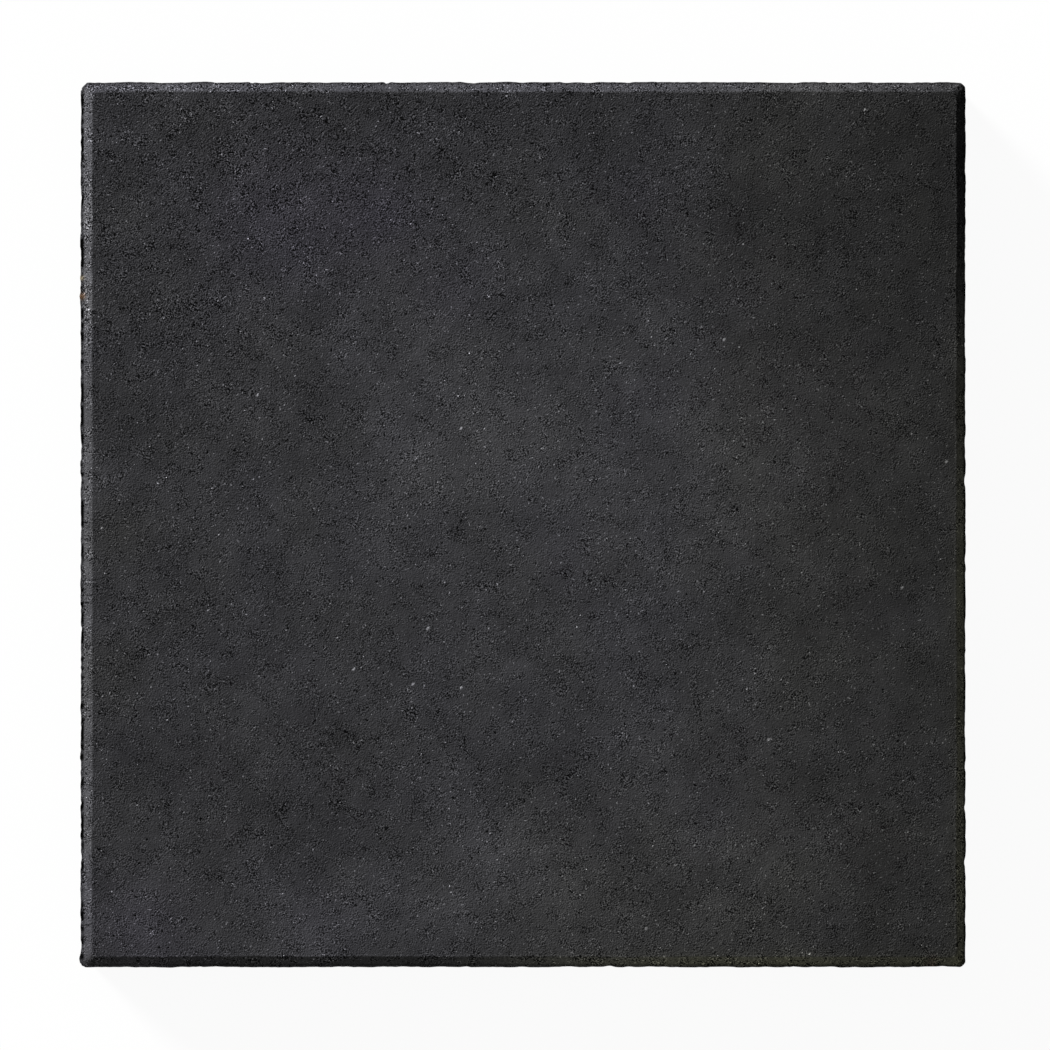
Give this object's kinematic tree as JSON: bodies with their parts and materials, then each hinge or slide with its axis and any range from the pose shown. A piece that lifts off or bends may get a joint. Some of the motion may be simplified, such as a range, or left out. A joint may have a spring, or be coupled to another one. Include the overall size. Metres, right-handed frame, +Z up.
{
  "type": "concrete paving slab",
  "caption": "Square dark grey concrete paving slab with a pressed bevel round its wearing face, upright sides and a flat bed face.",
  "frame": {"origin": "centre of the slab's bed face, on the floor that it lies on", "axes": "+Z up through the wearing face, X and Y along the edges, with the widest lip on the -X side"},
  "size_m": [0.4, 0.4, 0.04],
  "materials": {
    "concrete": "dry-pressed through-coloured anthracite concrete with an open sandy grain"
  },
  "bodies": {
    "root": {"paving_slab": "concrete"}
  },
  "joints": []
}
